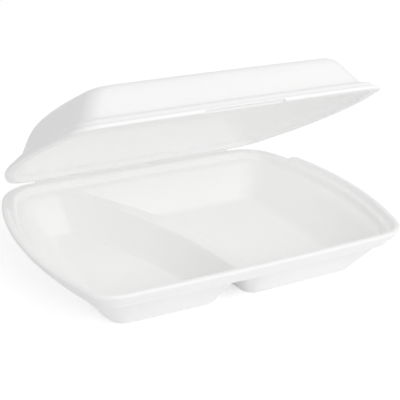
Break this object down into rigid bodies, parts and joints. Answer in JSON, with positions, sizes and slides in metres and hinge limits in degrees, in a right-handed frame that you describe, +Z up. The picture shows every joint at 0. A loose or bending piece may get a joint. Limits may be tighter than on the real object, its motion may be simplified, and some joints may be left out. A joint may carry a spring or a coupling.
{
  "type": "foam menu box",
  "caption": "White foam take-away box: a divided tray with a stepped rim and a domed lid hinged along its back, standing ajar, for carrying a hot meal with a side dish.",
  "frame": {"origin": "on the table, under the middle of the box's outline", "axes": "+X along the hinge, to the right as seen from the front; -Y to the front edge, +Y to the hinge; +Z up"},
  "size_m": [0.241, 0.1952, 0.1359],
  "materials": {
    "foam": "matte, fine-celled foam skin"
  },
  "bodies": {
    "tray": {"tray": "foam"},
    "lid": {"lid": "foam"}
  },
  "joints": [
    {"name": "lid_hinge", "type": "hinge", "parent": "tray", "child": "lid", "pos_m": [0, 0.097, 0.03255], "axis": [-1, 0, 0], "range_deg": [-28.3, 151.7]}
  ]
}
